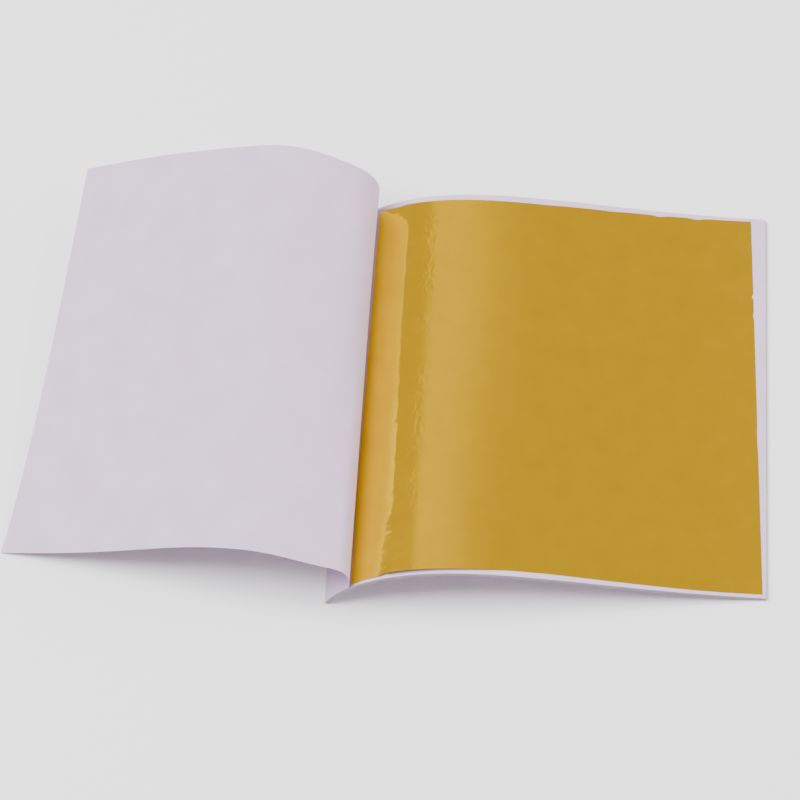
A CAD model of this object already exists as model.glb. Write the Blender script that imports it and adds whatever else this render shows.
import math

import bpy
import numpy as np
from mathutils import Matrix, Vector, noise


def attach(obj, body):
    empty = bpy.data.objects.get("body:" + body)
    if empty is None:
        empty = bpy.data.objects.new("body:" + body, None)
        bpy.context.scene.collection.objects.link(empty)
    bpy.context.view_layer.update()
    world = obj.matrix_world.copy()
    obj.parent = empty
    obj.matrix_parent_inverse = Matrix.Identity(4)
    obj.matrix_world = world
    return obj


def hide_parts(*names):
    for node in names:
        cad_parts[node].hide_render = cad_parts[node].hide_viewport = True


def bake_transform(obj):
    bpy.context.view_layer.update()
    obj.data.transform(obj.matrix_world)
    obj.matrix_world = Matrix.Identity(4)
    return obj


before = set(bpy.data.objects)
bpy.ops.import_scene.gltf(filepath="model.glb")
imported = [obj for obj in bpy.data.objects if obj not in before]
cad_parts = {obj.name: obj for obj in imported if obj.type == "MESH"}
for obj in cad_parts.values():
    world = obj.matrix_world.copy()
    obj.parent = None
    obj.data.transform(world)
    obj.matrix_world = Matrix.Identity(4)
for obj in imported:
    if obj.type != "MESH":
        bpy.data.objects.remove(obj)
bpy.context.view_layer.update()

MM = 0.001

# Sizes of the booklet in millimetres and slopes in degrees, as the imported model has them
PAGE_W = 88.0
PAGE_D = 88.0
PAPER_T = 0.06
GOLD_T = 0.01
LEAF_GAP = 0.005
SHEETS = 10
PITCH = PAPER_T + GOLD_T + 2 * LEAF_GAP
ROOT_SLOPE = 58.0
BEND_LENGTH = 58.0
BEND_GATHER = 2.8
EDGE_SLOPE = -8.0
GLUE_T = 0.3
GLUE_FOOT = 0.3
OPEN_AT = (7.9, 10.2)
GOLD_FROM_OPEN = 0.2
# Bare paper round the gold: beside the free edge, at the front edge and at the rear edge
GOLD_FROM_EDGE = (0.7, 2.9)
GOLD_FROM_FRONT = (0.5, 1.4)
GOLD_FROM_REAR = (2.0, 0.7)
LIFT_OFF = 5.0
STAND_AT = (11.0, 12.0)
STAND_SLOPE = (88.7, 74.2)
CURL_AT = (17.5, 26.4)
CURL_SLOPE = (172.4, 156.8)
FALL_AT = (55.4, 47.0)
END_BEND = (-7.2, 7.7)
SKEW = (9.9, 11.85)
CORNER_RISE = (0.0, 5.1)

FRONT_Y = -PAGE_D / 2
REAR_Y = PAGE_D / 2

# Distance from the spine at which the turned sheet's curl has ended
CURL_END = 34.0
# How far the turned sheet's free edge is drawn in: at its front corner, and between its corners, where
# a lean under 1 puts most of it in the front half
DRAWN_IN_FRONT = 0.4
DRAWN_IN_BETWEEN = 1.2
DRAWN_IN_LEAN = 0.72
# The front corner of the fold is pressed a little lower and to the left. Each pair says from what
# distance from the spine, and over what length, that grows or fades
PRESSED_DOWN = 1.3
PRESSED_LEFT = 0.3
PRESSED_GROWS = (6.0, 3.0)
PRESSED_FADES = (18.0, 16.0)
# Where the turned sheet starts to bend, at the block's surface, and the way from there to the curl
# Band in which a sheet of the block bends: its distance from the opening line, and its width
# The top foil reaches farther under the fold than the other leaves: by this much at its front edge, and
# by up to so much more behind it, which it grows to over this depth
UNDER_FOLD = 0.35
UNDER_FOLD_MORE = 0.5
UNDER_FOLD_GROWS = 20.0


def ease(t):
    """Smooth step from 0 to 1."""
    t = np.clip(t, 0.0, 1.0)
    return t * t * (3 - 2 * t)


def halved(low, high, too_low):
    """The value between low and high where too_low(value) turns from true to false."""
    for _ in range(40):
        middle = (low + high) / 2
        if too_low(middle):
            low = middle
        else:
            high = middle
    return (low + high) / 2


# The arch of the block, as one line seen from the front
LINE_STEP = 0.05
LINE_S = np.arange(0.0, PAGE_W + LINE_STEP / 2, LINE_STEP)


def block_slope(s, fall):
    """Slope of the arch in degrees at distance s from the spine; fall is where the bend ends."""
    t = np.clip(s / BEND_LENGTH, 0.0, 1.0)
    bend = ROOT_SLOPE + (fall - ROOT_SLOPE) * (1 - (1 - t) ** BEND_GATHER)
    return bend + (EDGE_SLOPE - fall) * ease((s - BEND_LENGTH) / (PAGE_W - BEND_LENGTH))


def summed(steps, start):
    """Points of a line from its start and its steps."""
    return np.vstack([start, start + np.cumsum(steps, axis=0)])


def block_line(fall):
    """x and z of the first sheet's underside, from the spine to the free edge."""
    middle = np.radians(block_slope((LINE_S[1:] + LINE_S[:-1]) / 2, fall))
    steps = LINE_STEP * np.column_stack([np.cos(middle), np.sin(middle)])
    bound_t = SHEETS * PITCH + PAPER_T
    root = math.radians(ROOT_SLOPE)
    foot_x = (bound_t * math.sin(root) + GLUE_T * math.cos(root)) / 2
    return summed(steps, np.array([foot_x, GLUE_FOOT]))


BLOCK_FALL = halved(-60.0, 20.0, lambda fall: block_line(fall)[-1, 1] < 0)
BLOCK_LINE = block_line(BLOCK_FALL)


def on_block(s, d):
    """x and z of the arch at distance s from the spine, d above the first sheet's underside."""
    a = np.radians(block_slope(s, BLOCK_FALL))
    x = np.interp(s, LINE_S, BLOCK_LINE[:, 0]) - d * np.sin(a)
    z = np.interp(s, LINE_S, BLOCK_LINE[:, 1]) + d * np.cos(a)
    return x, z


def sheet_low(k):
    """Height of sheet k's underside above the first sheet's."""
    return (k - 1) * PITCH


# The turned sheet: a front edge and a rear edge, joined by lines

def turned_slope(s, e, fall):
    """Slope in degrees of an edge of the turned sheet: it leaves the block, stands, curls and falls."""
    leaving = float(block_slope(LIFT_OFF, BLOCK_FALL))
    a = np.where(s < LIFT_OFF, block_slope(s, BLOCK_FALL), leaving)
    a = a + (STAND_SLOPE[e] - leaving) * ease((s - LIFT_OFF) / (STAND_AT[e] - LIFT_OFF))
    a = a + (CURL_SLOPE[e] - STAND_SLOPE[e]) * ease((s - STAND_AT[e]) / (CURL_AT[e] - STAND_AT[e]))
    a = a + (fall - CURL_SLOPE[e]) * ease((s - CURL_AT[e]) / (FALL_AT[e] - CURL_AT[e]))
    return a + END_BEND[e] * ease((s - FALL_AT[e]) / (PAGE_W - FALL_AT[e]))


def turned_line(e, fall):
    """Points of the front edge (e = 0) or the rear edge (e = 1) of the turned sheet."""
    middle = (LINE_S[1:] + LINE_S[:-1]) / 2
    a = np.radians(turned_slope(middle, e, fall))
    turn = np.radians(SKEW[e] * ease((middle - LIFT_OFF) / (CURL_AT[e] - LIFT_OFF)))
    steps = LINE_STEP * np.column_stack([np.cos(a) * np.cos(turn), -np.cos(a) * np.sin(turn), np.sin(a)])
    bound = LINE_S <= LIFT_OFF
    x, z = on_block(LINE_S[bound], SHEETS * PITCH)
    y = np.full(len(x), FRONT_Y if e == 0 else REAR_Y)
    followed = np.column_stack([x, y, z])
    return np.vstack([followed, summed(steps[len(x) - 1:], followed[-1])[1:]])


def turned_edge(e):
    """The edge whose end comes down to its corner's height over the table."""
    goal = CORNER_RISE[e] + PAPER_T
    fall = halved(170.0, 250.0, lambda fall: turned_line(e, fall)[-1, 2] > goal)
    return turned_line(e, fall)


TURNED_EDGES = [turned_edge(0), turned_edge(1)]


def on_turned(s, v):
    """Points of the turned sheet's upper side at distance s from the spine; v goes from 0 at the front
    to 1 at the rear."""
    drawn_in = DRAWN_IN_FRONT * (1 - v) + DRAWN_IN_BETWEEN * np.sin(np.pi * v ** DRAWN_IN_LEAN)
    along = s[:, None] - drawn_in[None, :] * ease((s[:, None] - CURL_END) / (PAGE_W - CURL_END))
    front, rear = [np.stack([np.interp(along, LINE_S, edge[:, i]) for i in range(3)], axis=-1)
                   for edge in TURNED_EDGES]
    points = front * (1 - v[None, :, None]) + rear * v[None, :, None]
    grown = ease((s - PRESSED_GROWS[0]) / PRESSED_GROWS[1])
    faded = ease((s - PRESSED_FADES[0]) / PRESSED_FADES[1])
    pressed = (grown * (1 - faded))[:, None] * (1 - v[None, :]) ** 4
    points[:, :, 2] -= PRESSED_DOWN * pressed
    points[:, :, 0] -= PRESSED_LEFT * pressed
    return points


# Meshes of thin sheets

def grid_normals(points):
    """Unit normals of a grid of points, rows along s and columns along the spine."""
    along = np.gradient(points, axis=0)
    across = np.gradient(points, axis=1)
    n = np.cross(along, across)
    return n / np.linalg.norm(n, axis=2, keepdims=True)


def thin_solid(name, lower, upper, unrolled):
    """A closed thin solid between two grids of points in millimetres, with the flat sheet's own
    coordinates in metres as its UV map."""
    rows, columns = lower.shape[:2]
    count = rows * columns
    at = np.arange(count).reshape(rows, columns)
    a, b, c, d = at[:-1, :-1], at[1:, :-1], at[1:, 1:], at[:-1, 1:]
    top = np.stack([a, b, c, d], axis=-1).reshape(-1, 4) + count
    bottom = np.stack([a, d, c, b], axis=-1).reshape(-1, 4)
    rim_line = np.concatenate([at[:-1, 0], at[-1, :-1], at[:0:-1, -1], at[0, :0:-1]])
    following = np.roll(rim_line, -1)
    rim = np.stack([rim_line, following, following + count, rim_line + count], axis=-1)
    faces = np.concatenate([top, bottom, rim])
    mesh = bpy.data.meshes.new(name)
    points = np.concatenate([lower.reshape(-1, 3), upper.reshape(-1, 3)]) * MM
    mesh.from_pydata(points.tolist(), [], faces.tolist())
    flat = np.concatenate([unrolled.reshape(-1, 2)] * 2) * MM
    uv = mesh.uv_layers.new(name="unrolled")
    loop_vertex = np.empty(len(mesh.loops), np.int32)
    mesh.loops.foreach_get("vertex_index", loop_vertex)
    uv.data.foreach_set("uv", flat[loop_vertex].astype(np.float32).ravel())
    cut = np.zeros(len(faces))
    cut[-len(rim):] = 1.0
    mesh.attributes.new("cut_edge", "FLOAT", "FACE").data.foreach_set("value", cut)
    smooth = np.ones(len(faces), bool)
    smooth[-len(rim):] = False
    mesh.polygons.foreach_set("use_smooth", smooth)
    sharp = mesh.attributes.new("sharp_edge", "BOOLEAN", "EDGE")
    edge_vertices = np.empty(len(mesh.edges) * 2, np.int32)
    mesh.edges.foreach_get("vertices", edge_vertices)
    pair = edge_vertices.reshape(-1, 2)
    on_rim = np.zeros(2 * count, bool)
    on_rim[rim_line] = True
    on_rim[rim_line + count] = True
    low_side = (pair < count).all(axis=1)
    high_side = (pair >= count).all(axis=1)
    sharp.data.foreach_set("value", on_rim[pair].all(axis=1) & (low_side | high_side))
    mesh.update()
    piece = bpy.data.objects.new(name, mesh)
    bpy.context.scene.collection.objects.link(piece)
    return piece


def spaced(first, last, step):
    """Even stations from first to last, about step apart."""
    return np.linspace(first, last, max(2, int(round((last - first) / step)) + 1))


# Materials

def linear(code):
    """Linear red, green, blue and alpha of an sRGB hex value."""
    channels = [int(code[i:i + 2], 16) / 255 for i in (1, 3, 5)]
    return [c / 12.92 if c <= 0.04045 else ((c + 0.055) / 1.055) ** 2.4 for c in channels] + [1.0]


def new_material(name):
    material = bpy.data.materials.new(name)
    material.use_nodes = True
    return material, material.node_tree, material.node_tree.nodes["Principled BSDF"]


def add(tree, kind, settings=(), **links):
    """A node with its settings; each link names one of its inputs, or i0, i1 and so on for its number,
    and gives a socket or a value."""
    node = tree.nodes.new(kind)
    for name, value in dict(settings).items():
        setattr(node, name, value)
    for name, value in links.items():
        socket = node.inputs[int(name[1:])] if name[0] == "i" and name[1:].isdigit() else node.inputs[name]
        if isinstance(value, bpy.types.NodeSocket):
            tree.links.new(value, socket)
        else:
            socket.default_value = value
    return node


def interleaf_paper(name, colour, shade, edge, seed):
    """Thin uncoated wood pulp paper, calendered: matt, with faint clouds where the pulp is denser,
    and darker along its cut edges, where the knife leaves the fibres open. The fibres are some 0.03 mm
    wide, too fine to show, and are drawn coarser."""
    material, tree, surface = new_material(name)
    flat = add(tree, "ShaderNodeUVMap", {"uv_map": "unrolled"}).outputs[0]
    cloud_mm = 6.0
    fibre_mm = 0.5
    clouds = add(tree, "ShaderNodeTexNoise", {"noise_dimensions": "4D"}, Vector=flat, W=seed,
                 Scale=1000 / cloud_mm, Detail=3.0)
    tone = add(tree, "ShaderNodeMix", {"data_type": "RGBA"}, Factor=clouds.outputs["Fac"])
    tone.inputs["A"].default_value = linear(shade)
    tone.inputs["B"].default_value = linear(colour)
    cut = add(tree, "ShaderNodeAttribute", {"attribute_name": "cut_edge"}).outputs["Fac"]
    edged = add(tree, "ShaderNodeMix", {"data_type": "RGBA"}, Factor=cut)
    tree.links.new(tone.outputs["Result"], edged.inputs["A"])
    edged.inputs["B"].default_value = linear(edge)
    tree.links.new(edged.outputs["Result"], surface.inputs["Base Color"])
    fibres = add(tree, "ShaderNodeTexNoise", {"noise_dimensions": "4D"}, Vector=flat, W=seed + 3.0,
                 Scale=1000 / fibre_mm, Detail=2.0)
    relief = add(tree, "ShaderNodeBump", Height=fibres.outputs["Fac"], Strength=0.12, Distance=0.00002)
    tree.links.new(relief.outputs["Normal"], surface.inputs["Normal"])
    surface.inputs["Roughness"].default_value = 0.8
    return material


def gold_foil(name):
    """Beaten metal foil laid on paper: smooth enough to mirror the studio, a little blurred by the paper's
    tooth below it. The tooth is finer than 0.1 mm, too fine to show, and is drawn coarser."""
    material, tree, surface = new_material(name)
    flat = add(tree, "ShaderNodeUVMap", {"uv_map": "unrolled"}).outputs[0]
    cloud_mm = 5.0
    grain_mm = 0.5
    clouds = add(tree, "ShaderNodeTexNoise", Vector=flat, Scale=1000 / cloud_mm, Detail=3.0)
    tone = add(tree, "ShaderNodeMix", {"data_type": "RGBA"}, Factor=clouds.outputs["Fac"])
    tone.inputs["A"].default_value = linear("#FFE310")
    tone.inputs["B"].default_value = linear("#F2D10C")
    tree.links.new(tone.outputs["Result"], surface.inputs["Base Color"])
    grain = add(tree, "ShaderNodeTexNoise", Vector=flat, Scale=1000 / grain_mm, Detail=3.0)
    relief = add(tree, "ShaderNodeBump", Height=grain.outputs["Fac"], Strength=0.1, Distance=0.00001)
    tree.links.new(relief.outputs["Normal"], surface.inputs["Normal"])
    surface.inputs["Metallic"].default_value = 1.0
    surface.inputs["Roughness"].default_value = 0.1
    return material


def padding_glue(name):
    """White PVA padding compound, brushed on: it dries to a milky film, slightly glossy, with the
    brush's fine lines in it."""
    material, tree, surface = new_material(name)
    place = add(tree, "ShaderNodeTexCoord").outputs["Object"]
    brush_mm = 0.4
    lines = add(tree, "ShaderNodeTexNoise", Vector=place, Scale=1000 / brush_mm, Detail=2.0)
    tone = add(tree, "ShaderNodeMix", {"data_type": "RGBA"}, Factor=lines.outputs["Fac"])
    tone.inputs["A"].default_value = linear("#DDD6D2")
    tone.inputs["B"].default_value = linear("#EFEAE6")
    tree.links.new(tone.outputs["Result"], surface.inputs["Base Color"])
    relief = add(tree, "ShaderNodeBump", Height=lines.outputs["Fac"], Strength=0.3, Distance=0.00005)
    tree.links.new(relief.outputs["Normal"], surface.inputs["Normal"])
    surface.inputs["Roughness"].default_value = 0.35
    return material


PAPER = interleaf_paper("interleaf paper", "#D2BED7", "#C4B0C8", "#9A8C9E", 0.0)
TURNED_PAPER = interleaf_paper("interleaf paper of the turned sheet", "#D1BBD7", "#C1AAC3", "#9A8C9E", 7.0)
GOLD = gold_foil("beaten gold foil")
GLUE = padding_glue("padding glue")


def finish_piece(piece, material):
    piece.data.materials.append(material)


# Sheets of the block

def block_grid(s, y, d):
    """Grid of points on the arch, d above the first sheet's underside; s and y are grids of the flat
    sheet's coordinates."""
    x, z = on_block(s, d)
    return np.stack([x, y, z], axis=-1)


def make_page(k):
    root = spaced(0.0, 7.0, 0.3)
    opening = spaced(7.0, 12.0, 0.1)
    arch = spaced(12.0, 30.0, 0.5)
    s = np.unique(np.concatenate([root, opening, arch, spaced(30.0, PAGE_W, 1.2)]))
    y = spaced(FRONT_Y, REAR_Y, 8.0)
    s_grid, y_grid = np.meshgrid(s, y, indexing="ij")
    # The rows of the mesh run along the opening line near it, and along the sheet's ends elsewhere
    skew_grows, skew_end, skew_fades = 6.5, 12.0, 14.0
    skewed = ease(s_grid / skew_grows) * (1 - ease((s_grid - skew_end) / skew_fades))
    s_grid = s_grid + skewed * (OPEN_AT[1] - OPEN_AT[0]) * y_grid / PAGE_D
    low = block_grid(s_grid, y_grid, sheet_low(k))
    high = block_grid(s_grid, y_grid, sheet_low(k) + PAPER_T)
    piece = thin_solid(f"sheet_{k:02d}_paper", low, high, np.stack([s_grid, y_grid], axis=-1))
    finish_piece(piece, PAPER)
    if k == 1:
        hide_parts("page_01")
        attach(piece, "block")
        return
    if k == 2:
        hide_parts("page_02", "bound_margins")
    else:
        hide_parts(f"page_{k:02d}")
    # The sheet bends in a narrow band that runs beside the opening line, under the turned sheet's foot
    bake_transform(piece)


def gold_bounds(y):
    """Left and right ends of the gold, as distances from the spine, beside each y."""
    v = (y - FRONT_Y) / PAGE_D
    left = OPEN_AT[0] + (OPEN_AT[1] - OPEN_AT[0]) * v + GOLD_FROM_OPEN
    right = PAGE_W - GOLD_FROM_EDGE[0] - (GOLD_FROM_EDGE[1] - GOLD_FROM_EDGE[0]) * v
    return left, right


def dents(t, places):
    """Sum of smooth dents along an edge; each place is a middle, a half width and a depth in mm, which
    is below 0 where the edge runs out instead."""
    return sum(depth * np.exp(-((t - middle) / half) ** 2) for middle, half, depth in places)


# Small tears in the top foil's edges, with the rear and front ones by their distance from the spine
REAR_TEARS = ((66.8, 1.1, 0.32), (74.2, 1.3, 0.28), (57.0, 2.2, 0.10), (44.0, 3.0, 0.08), (14.6, 0.7, 0.12))
RIGHT_TEARS = ((25.0, 0.35, 0.35), (20.5, 0.6, 0.18), (-8.0, 3.0, 0.12))
FRONT_TEARS = ((15.5, 0.5, 0.22), (38.0, 3.0, 0.08))
# Its rear and front edges aren't quite straight: they run out towards the sheet's edges or draw in
REAR_BOWS = ((12.0, 22.0, -0.72),)
FRONT_BOWS = ((84.0, 22.0, -0.62), (43.0, 10.0, 0.24))


def noise_grid(s, y, size, seed):
    """Smooth noise over the flat sheet, about 1 at most, with features of the given size in mm."""
    points = np.stack([s.ravel() / size, y.ravel() / size], axis=1)
    values = [noise.noise(Vector((a, b, seed))) for a, b in points]
    return np.array(values).reshape(s.shape)


def creases(s, y, size, seed):
    """Sharp thin ridges, as foil gets where it is crumpled: 1 on a ridge and 0 away from it."""
    shift_s = size * noise_grid(s, y, size * 1.7, seed + 5.0)
    shift_y = size * noise_grid(s, y, size * 1.7, seed + 9.0)
    return np.clip(1 - 5 * np.abs(noise_grid(s + shift_s, y + shift_y, size, seed)), 0.0, 1.0)


def foil_ridge(s, y, v):
    """A low ridge along the bend, where the foil has come off the paper: steep on the fold's side and
    highest at the front."""
    start = 10.3
    # Crest and height at the front and at the rear; from v on, over a part of the depth, one goes over
    # into the other
    front_crest, rear_crest, crest_from, crest_over = 16.4, 16.15, 0.25, 0.5
    front_height, rear_height, height_from, height_over = 0.88, 0.14, 0.1, 0.7
    fall_length = 26.0
    steepness = 2.2
    # The crest wanders along the booklet, by a longer and a shorter wave: its reach and its size in mm
    waves = ((0.30, 4.0, 11.0), (0.16, 1.1, 12.0))
    wander = sum(reach * noise_grid(0 * s, y, size, seed) for reach, size, seed in waves)
    crest = front_crest + (rear_crest - front_crest) * ease((v - crest_from) / crest_over) + wander
    height = front_height + (rear_height - front_height) * ease((v - height_from) / height_over)
    rise = np.clip((s - start) / (crest - start), 0.0, 1.0) ** steepness
    fall = 1 - ease((s - crest) / fall_length)
    return height * np.where(s < crest, rise, fall)


def foil_relief(s, y):
    """Height of the top foil over the paper in mm: it clings, but creases where the booklet bends."""
    v = (y - FRONT_Y) / PAGE_D
    wave_size = 5.0
    wave_height = 0.006
    relief = foil_ridge(s, y, v) + wave_height * (0.5 + noise_grid(s, y, wave_size, 1.0))
    fine_size = 1.1
    fine_height = 0.0012
    relief = relief + fine_height * noise_grid(s, y, fine_size, 2.0)
    # It is creased in patches along the bend
    bend_middle = 18.0 + 3.2 * v ** 1.5
    bend_half = 2.2
    patch_size = 6.0
    patches = ease(0.55 + 1.6 * noise_grid(s, y, patch_size, 3.0))
    in_bend = np.exp(-((s - bend_middle) / bend_half) ** 2) * patches
    crease_size = 1.3
    crease_height = 0.05
    relief = relief + crease_height * in_bend * creases(s, y, crease_size, 4.0)
    # The corner beside the fold and the rear edge is crumpled more
    corner_s, corner_half_s = 14.5, 2.0
    corner_y, corner_half_y = 40.6, 1.1
    in_corner = np.exp(-((s - corner_s) / corner_half_s) ** 2 - ((y - corner_y) / corner_half_y) ** 2)
    corner_crease_size = 1.6
    corner_height = 0.12
    return relief + corner_height * in_corner * creases(s, y, corner_crease_size, 7.0)


def gold_stations(top):
    """Stations over a leaf, from 0 beside the fold to 1 beside the free edge: closest at the bend."""
    if not top:
        return np.append(spaced(0.0, 0.3, 0.006)[:-1], spaced(0.3, 1.0, 0.015))
    parts = [spaced(0.0, 0.06, 0.005), spaced(0.06, 0.21, 0.0022), spaced(0.21, 1.0, 0.008)]
    return np.unique(np.concatenate(parts).round(6))


def make_gold(k):
    """Leaf k on its sheet; the top one is the one that shows, with its relief, tears and bows."""
    top = k == SHEETS
    u = gold_stations(top)
    steps_back = 260 if top else 12
    v = spaced(0.0, 1.0, 1 / steps_back)
    u_grid, v_grid = np.meshgrid(u, v, indexing="ij")
    front = FRONT_Y + GOLD_FROM_FRONT[0] + (GOLD_FROM_FRONT[1] - GOLD_FROM_FRONT[0]) * u_grid
    rear = REAR_Y - GOLD_FROM_REAR[0] + (GOLD_FROM_REAR[0] - GOLD_FROM_REAR[1]) * u_grid
    left, right = gold_bounds(front + (rear - front) * v_grid)
    if top:
        about_s = left + (right - left) * u_grid
        rear = rear - dents(about_s, REAR_TEARS + REAR_BOWS)
        front = front + dents(about_s, FRONT_TEARS + FRONT_BOWS)
    y = front + (rear - front) * v_grid
    left, right = gold_bounds(y)
    if top:
        right = right - dents(y, RIGHT_TEARS)
        left = left - (UNDER_FOLD + UNDER_FOLD_MORE * ease((y - FRONT_Y) / UNDER_FOLD_GROWS))
    s = left + (right - left) * u_grid
    d = sheet_low(k) + PAPER_T + LEAF_GAP + (foil_relief(s, y) if top else 0.0)
    low = block_grid(s, y, d)
    high = block_grid(s, y, d + GOLD_T)
    piece = thin_solid(f"gold_leaf_{k:02d}_foil", low, high, np.stack([s, y], axis=-1))
    finish_piece(piece, GOLD)
    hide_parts(f"gold_leaf_{k:02d}")
    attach(piece, f"leaf_{k:02d}")


def make_turned_sheet():
    s = np.unique(np.concatenate([spaced(0.0, CURL_END, 0.4), spaced(CURL_END, PAGE_W, 1.2)]))
    steps_back = 48
    v = spaced(0.0, 1.0, 1 / steps_back)
    upper = on_turned(s, v)
    lower = upper + PAPER_T * grid_normals(upper)
    s_grid, v_grid = np.meshgrid(s, v, indexing="ij")
    flat = np.stack([s_grid, FRONT_Y + v_grid * PAGE_D], axis=-1)
    piece = thin_solid("turned_sheet_paper", upper, lower, flat)
    finish_piece(piece, TURNED_PAPER)
    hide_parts("turned_page", "turned_page_fold")
    # The bend takes place in the standing part
    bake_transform(piece)


def dress_spine_glue():
    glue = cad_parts["spine_glue"]
    glue.data.materials.clear()
    glue.data.materials.append(GLUE)


for k in range(1, SHEETS + 1):
    make_page(k)
    make_gold(k)
make_turned_sheet()
dress_spine_glue()

# Camera: worked out from the booklet's corners and edges in the photograph, whose frame is 800 x 800
PHOTO_PX = 800
FOCAL_PX = 4208.2
CAMERA_RISE = math.radians(56.741)
CAMERA_TURN = math.radians(10.842)
CAMERA_ROLL = math.radians(-9.883)
PX_PER_MM = 5.0506
# Point on the table at the middle of the photograph, with the axes turned by CAMERA_TURN, and the
# frame's place of the point from which it counts, at the spine's front end
AIM = (20.42, 43.47)
AIM_ORIGIN = (0.194, FRONT_Y)


def place_camera():
    data = bpy.data.cameras.new("camera")
    data.lens = FOCAL_PX * data.sensor_width / PHOTO_PX
    data.clip_end = 10.0
    turn = Matrix.Rotation(CAMERA_TURN, 3, "Z")
    right = Vector((1.0, 0.0, 0.0))
    ahead = Vector((0.0, math.cos(CAMERA_RISE), -math.sin(CAMERA_RISE)))
    up = right.cross(ahead)
    rolled_right = math.cos(CAMERA_ROLL) * right + math.sin(CAMERA_ROLL) * up
    rolled_up = math.cos(CAMERA_ROLL) * up - math.sin(CAMERA_ROLL) * right
    distance = FOCAL_PX / PX_PER_MM
    place = turn @ (Vector((AIM[0], AIM[1], 0.0)) - ahead * distance)
    place += Vector((*AIM_ORIGIN, 0.0))
    axes = Matrix((turn @ rolled_right, turn @ rolled_up, turn @ -ahead)).transposed()
    camera = bpy.data.objects.new("camera", data)
    bpy.context.scene.collection.objects.link(camera)
    camera.matrix_world = Matrix.Translation(place * MM) @ axes.to_4x4()
    bpy.context.scene.camera = camera


def softbox(name, place, aim, size, power, colour="#FFFFFF"):
    """A soft studio light that faces its aim; sizes and places in metres."""
    data = bpy.data.lights.new(name, "AREA")
    data.shape = "RECTANGLE"
    data.size, data.size_y = size
    data.energy = power
    data.color = linear(colour)[:3]
    light = bpy.data.objects.new(name, data)
    bpy.context.scene.collection.objects.link(light)
    light.location = place
    light.rotation_euler = (Vector(aim) - Vector(place)).to_track_quat("-Z", "Y").to_euler()


def make_floor():
    """A wide matt table just under the booklet, which shows nothing but its soft shadow."""
    half = 3.0
    below = 0.02 * MM
    mesh = bpy.data.meshes.new("floor")
    corners = [(-half, -half, -below), (half, -half, -below), (half, half, -below), (-half, half, -below)]
    mesh.from_pydata(corners, [], [(0, 1, 2, 3)])
    material, _, surface = new_material("white table")
    surface.inputs["Base Color"].default_value = linear("#FAFAFA")
    surface.inputs["Roughness"].default_value = 0.9
    surface.inputs["Specular IOR Level"].default_value = 0.0
    mesh.materials.append(material)
    floor = bpy.data.objects.new("floor", mesh)
    bpy.context.scene.collection.objects.link(floor)


def make_studio_sky():
    """White studio walls, with a broad glow at the rear left that the gold's arch mirrors."""
    world = bpy.data.worlds.new("studio")
    bpy.context.scene.world = world
    world.use_nodes = True
    tree = world.node_tree
    way = add(tree, "ShaderNodeTexCoord").outputs["Generated"]
    parts = add(tree, "ShaderNodeSeparateXYZ", Vector=way)
    # The glow comes up and dies away between these values of the direction's x, and is behind by its y
    ramps = []
    for axis, low, high in (("X", -0.34, -0.22), ("X", 0.27, -0.08), ("Y", 0.1, 0.4)):
        limits = {"Value": parts.outputs[axis], "From Min": low, "From Max": high}
        ramp = add(tree, "ShaderNodeMapRange", {"interpolation_type": "SMOOTHSTEP"}, **limits)
        ramps.append(ramp.outputs[0])
    rising, setting, behind = ramps
    across = add(tree, "ShaderNodeMath", {"operation": "MULTIPLY"}, i0=rising, i1=setting)
    glow = add(tree, "ShaderNodeMath", {"operation": "MULTIPLY"}, i0=across.outputs[0], i1=behind)
    wall_strength = 0.74
    glow_strength = 0.34
    total = add(tree, "ShaderNodeMath", {"operation": "MULTIPLY_ADD"}, i0=glow.outputs[0], i1=glow_strength,
                i2=wall_strength)
    tree.links.new(total.outputs[0], tree.nodes["Background"].inputs["Strength"])
    # The wall behind the booklet is warmer than the walls on the camera's side
    wall = add(tree, "ShaderNodeMix", {"data_type": "RGBA"}, Factor=behind)
    wall.inputs["A"].default_value = linear("#DCD2D0")
    wall.inputs["B"].default_value = linear("#FFDDDF")
    tree.links.new(wall.outputs["Result"], tree.nodes["Background"].inputs["Color"])


place_camera()
make_floor()
make_studio_sky()
softbox("key softbox overhead", (-0.48, 0.0, 0.91), (0.0, 0.0, 0.0), (0.7, 0.7), 25.0, "#FAFDFF")
softbox("fill softbox at the right", (0.9, 0.05, 0.4), (0.0, 0.0, 0.01), (0.5, 0.5), 9.0)
